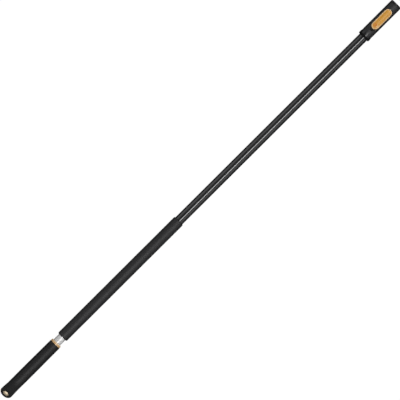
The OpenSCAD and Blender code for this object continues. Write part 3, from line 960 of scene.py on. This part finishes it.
# %% Head shell: the cup
def add_cup(skin, across, half):
    """The lip at the tool end, the cup's wall and the bulkhead, open where the button reaches in."""
    def bands(outline):
        return [skin.ring(around(x, r, across, math.pi)) for x, r in outline]

    seat, seat_r, shank_bore = head_end - 3 * MM, SPIGOT_R + 0.05 * MM, SHANK_R + 0.02 * MM
    skin.bridge_all(bands([(grid_end, HEAD_R), (head_end, HEAD_R - 0.3 * MM), (head_end, seat_r),
                           (seat, seat_r), (seat, CUP_R)]))
    wall = bands([(seat - k * MM, CUP_R) for k in range(23)] + [(cup_start, CUP_R)])
    wall += bands([(cup_start, r * MM) for r in (12, 11, 10, 9, 8, 7)] + [(cup_start, shank_bore)])
    wall += bands([(stud_foot - 0.1 * MM, shank_bore), (stud_foot - 0.1 * MM, 0.1 * MM)])
    for a, b in zip(wall, wall[1:]):
        first = len(skin.faces)
        skin.bridge(a, b)
        kept = []
        for face in skin.faces[first:]:
            centre = sum((skin.points[i] for i in face), Vector()) / 4
            beyond = max(0.0, centre.x - (button_high.x - half_width))
            if centre.z < AXIS + POCKET_FLOOR or math.hypot(beyond, centre.y) > half:
                kept.append(face)
        skin.faces[first:] = kept
    skin.faces.append(tuple(wall[-1]))


add_cup(shell, shell_round, pocket_half)
piece("head_shell", shell, "outer_pole", "head_plastic", ["tip_housing"], crease=50)

# %% [markdown]
# ## Mouth ring
# A soft ring rounds off the mouth of the head so that it doesn't mark a wall. It is a simple turned
# profile with one generous outer corner and a small inner one.

# %% Mouth ring
def mouth_ring():
    start, end = span("mouth_ring")
    r, joint = radius("mouth_ring"), head_end + 0.02 * MM
    outline = [(start, SPIGOT_R, 0), (joint, SPIGOT_R, 0), (joint, r, 0.25 * MM), (end, r, 3.0 * MM),
               (end, CUP_R, 0.6 * MM), (start, CUP_R, 0)]
    return piece("mouth_ring_soft", lathe(rounded(outline, 9)), "outer_pole", "grip_rubber", ["mouth_ring"])


mouth_ring()

# %% [markdown]
# ## Skirt lip
# The head's lower edge carries a second, softer moulding: a dull rubber lip that wipes the tube and
# spares the paint. Its near-black colour, darker than the head's nylon, is painted shade for the dark
# line at the skirt's edge. It starts with a bevel, reaches its full girth, and ends in a small step
# down to the skirt. It is flattened underneath like the skirt, so its rings follow the same floor line.

# %% Skirt lip
def shaded_lip_rubber():
    f = Finish("dull_lip_rubber", Specular_IOR_Level=0.08)
    bloom = f.speckle(3 * MM, 3.0)
    # Painted shade: the near-black base colour stands for the dark shadow line at the skirt's edge.
    f.feed("Base Color", f.between(bloom, (0.0020, 0.0020, 0.0021), (0.0045, 0.0045, 0.0046)))
    f.feed("Roughness", 0.70 + bloom * 0.15)
    f.emboss(f.speckle(0.25 * MM, 2.0), 0.015 * MM)
    return f.material


def skirt_lip():
    full, bore, root = HEAD_R + SKIRT_FLARE, tube_r + 0.04 * MM, HEAD_R - 0.9 * MM
    bevel_end, web = head_start + 3.2 * MM, head_start + 0.8 * MM
    outline = [(head_start, bore, 0.3 * MM), (head_start, full - 1.3 * MM, 0.6 * MM),
               (bevel_end, full, 1.0 * MM), (lip_end, full, 0.35 * MM), (lip_end, root, 0),
               (web, root, 0), (web, bore, 0)]
    skin = Skin()
    rings = [skin.ring(around(x, lambda angle: on_floor(r, angle), 160)) for x, r in rounded(outline, 7)]
    skin.bridge_all(rings, closed=True)
    return piece("skirt_lip", skin, "outer_pole", "head_plastic", ["tip_housing"], shaded_lip_rubber())


skirt_lip()

# %% [markdown]
# ## Rivets
# Two domed rivets hold the head to the tube, one on each side. They are turned about a line across
# the pole and sit in their counterbores.

# %% Rivets
def rivets():
    """Both rivets, from one outline of (distance from the axis, radius) in millimetres."""
    skin, angles = Skin(), [2 * math.pi * i / 48 for i in range(48)]
    outline = [(8.6, 0.1), (8.6, 1.9), (14.5, 1.9), (14.5, 3.35), (14.75, 3.45), (15.0, 3.3), (15.3, 2.7),
               (15.46, 1.8), (15.5, 0.9), (15.3, 0.6), (15.25, 0.1)]
    for side in (-1, 1):
        rings = []
        for out, r in outline:
            rings.append(skin.ring([
                Vector((rivet_x + r * MM * math.cos(a), side * out * MM, AXIS + r * MM * math.sin(a)))
                for a in angles
            ]))
        skin.bridge_all(rings)
        skin.faces.append(tuple(rings[0]))
        skin.faces.append(tuple(rings[-1]))
    return piece("head_rivets", skin, "outer_pole", "steel", ["tip_rivets"])


rivets()

# %% [markdown]
# ## Floor, light and camera
# The pole lies on a plain white floor. A narrow strip light draws the bright line along the glossy
# tube, and two broad low panels fill its flanks and leave a dark band between them. Two small low
# panels stand off the ends: one makes the butt's plug shine and the other looks into the mouth. The
# floor glows evenly instead of taking shadows, and it is left out of reflections, so that the edges
# of the dark parts stay dark against it.

# %% Floor
def white_floor():
    """A wide plane a hair below the pole, which shines by its own even light."""
    bpy.ops.mesh.primitive_plane_add(size=60, location=(0, 0, -0.3 * MM))
    floor = bpy.context.object
    floor.name = "floor"
    look = bpy.data.materials.new("white_floor")
    look.use_nodes = True
    shader = look.node_tree.nodes["Principled BSDF"]
    shader.inputs["Base Color"].default_value = (0.02, 0.02, 0.02, 1)
    shader.inputs["Roughness"].default_value = 1.0
    shader.inputs["Emission Color"].default_value = (1, 1, 1, 1)
    shader.inputs["Emission Strength"].default_value = 0.985
    floor.data.materials.append(look)
    floor.visible_glossy = False


white_floor()

world = bpy.data.worlds.new("studio")
world.use_nodes = True
world.node_tree.nodes["Background"].inputs["Color"].default_value = (0.985, 0.985, 0.985, 1)
world.node_tree.nodes["Background"].inputs["Strength"].default_value = 1.0
bpy.context.scene.world = world
world.cycles_visibility.glossy = False
world.cycles_visibility.diffuse = False
bpy.context.scene.view_settings.view_transform = "Standard"
print("floor and world ready")

# %% Lights
LIGHT_DISTANCE = 2.6
# Degrees by which the view leans towards +Y, and the lights with it
VIEW_TILT = 4.0


def softbox(name, lean, spread, length, glow, swing=0.0):
    """An area light aimed at the pole. Lean is its angle from overhead, positive towards +Y; spread is
    the angle that it fills; glow is its radiance; swing turns it about the vertical."""
    width = 2 * LIGHT_DISTANCE * math.tan(math.radians(spread / 2))
    data = bpy.data.lights.new(name, "AREA")
    data.shape = "RECTANGLE"
    data.size, data.size_y = length, width
    data.energy = glow * length * width * math.pi
    lamp = bpy.data.objects.new(name, data)
    bpy.context.collection.objects.link(lamp)
    lamp.matrix_world = (Matrix.Translation((0, 0, AXIS)) @ Matrix.Rotation(math.radians(swing), 4, "Z")
                         @ Matrix.Rotation(math.radians(-lean), 4, "X")
                         @ Matrix.Translation((0, 0, LIGHT_DISTANCE)))
    print(f"{name}: {width:.2f} m wide, {data.energy:.0f} W")


softbox("strip_light", VIEW_TILT - 16.0, 13.0, 5.0, 11.0)
softbox("left_panel", VIEW_TILT + 65.0, 46.0, 5.0, 0.92)
softbox("right_panel", VIEW_TILT - 62.0, 32.0, 5.0, 0.92)
softbox("butt_panel", 69.0, 27.0, 2.2, 1.9, swing=90.0)
softbox("mouth_panel", 66.0, 27.0, 2.2, 1.2, swing=-90.0)

# %% [markdown]
# The camera looks down, leaning a few degrees about the pole's axis, and is turned so that the pole
# runs from corner to corner of a square frame that is a little over a metre wide. It stands far off
# with a very long lens, so that the pole's sides stay parallel.

# %% Camera
FRAME_WIDTH = 1.016
TURN = math.radians(-44.896)
camera_data = bpy.data.cameras.new("camera")
camera_data.lens, camera_data.sensor_width, camera_data.clip_end = 1200, 36, 300
distance = FRAME_WIDTH * camera_data.lens / camera_data.sensor_width
camera = bpy.data.objects.new("camera", camera_data)
bpy.context.collection.objects.link(camera)
tilt = Matrix.Rotation(math.radians(-VIEW_TILT), 4, "X")
camera.matrix_world = (Matrix.Translation((0, -0.4 * MM, AXIS)) @ tilt @ Matrix.Translation((0, 0, distance))
                       @ Matrix.Rotation(TURN, 4, "Z"))
bpy.context.scene.camera = camera
print(f"camera {distance:.2f} m above the pole")
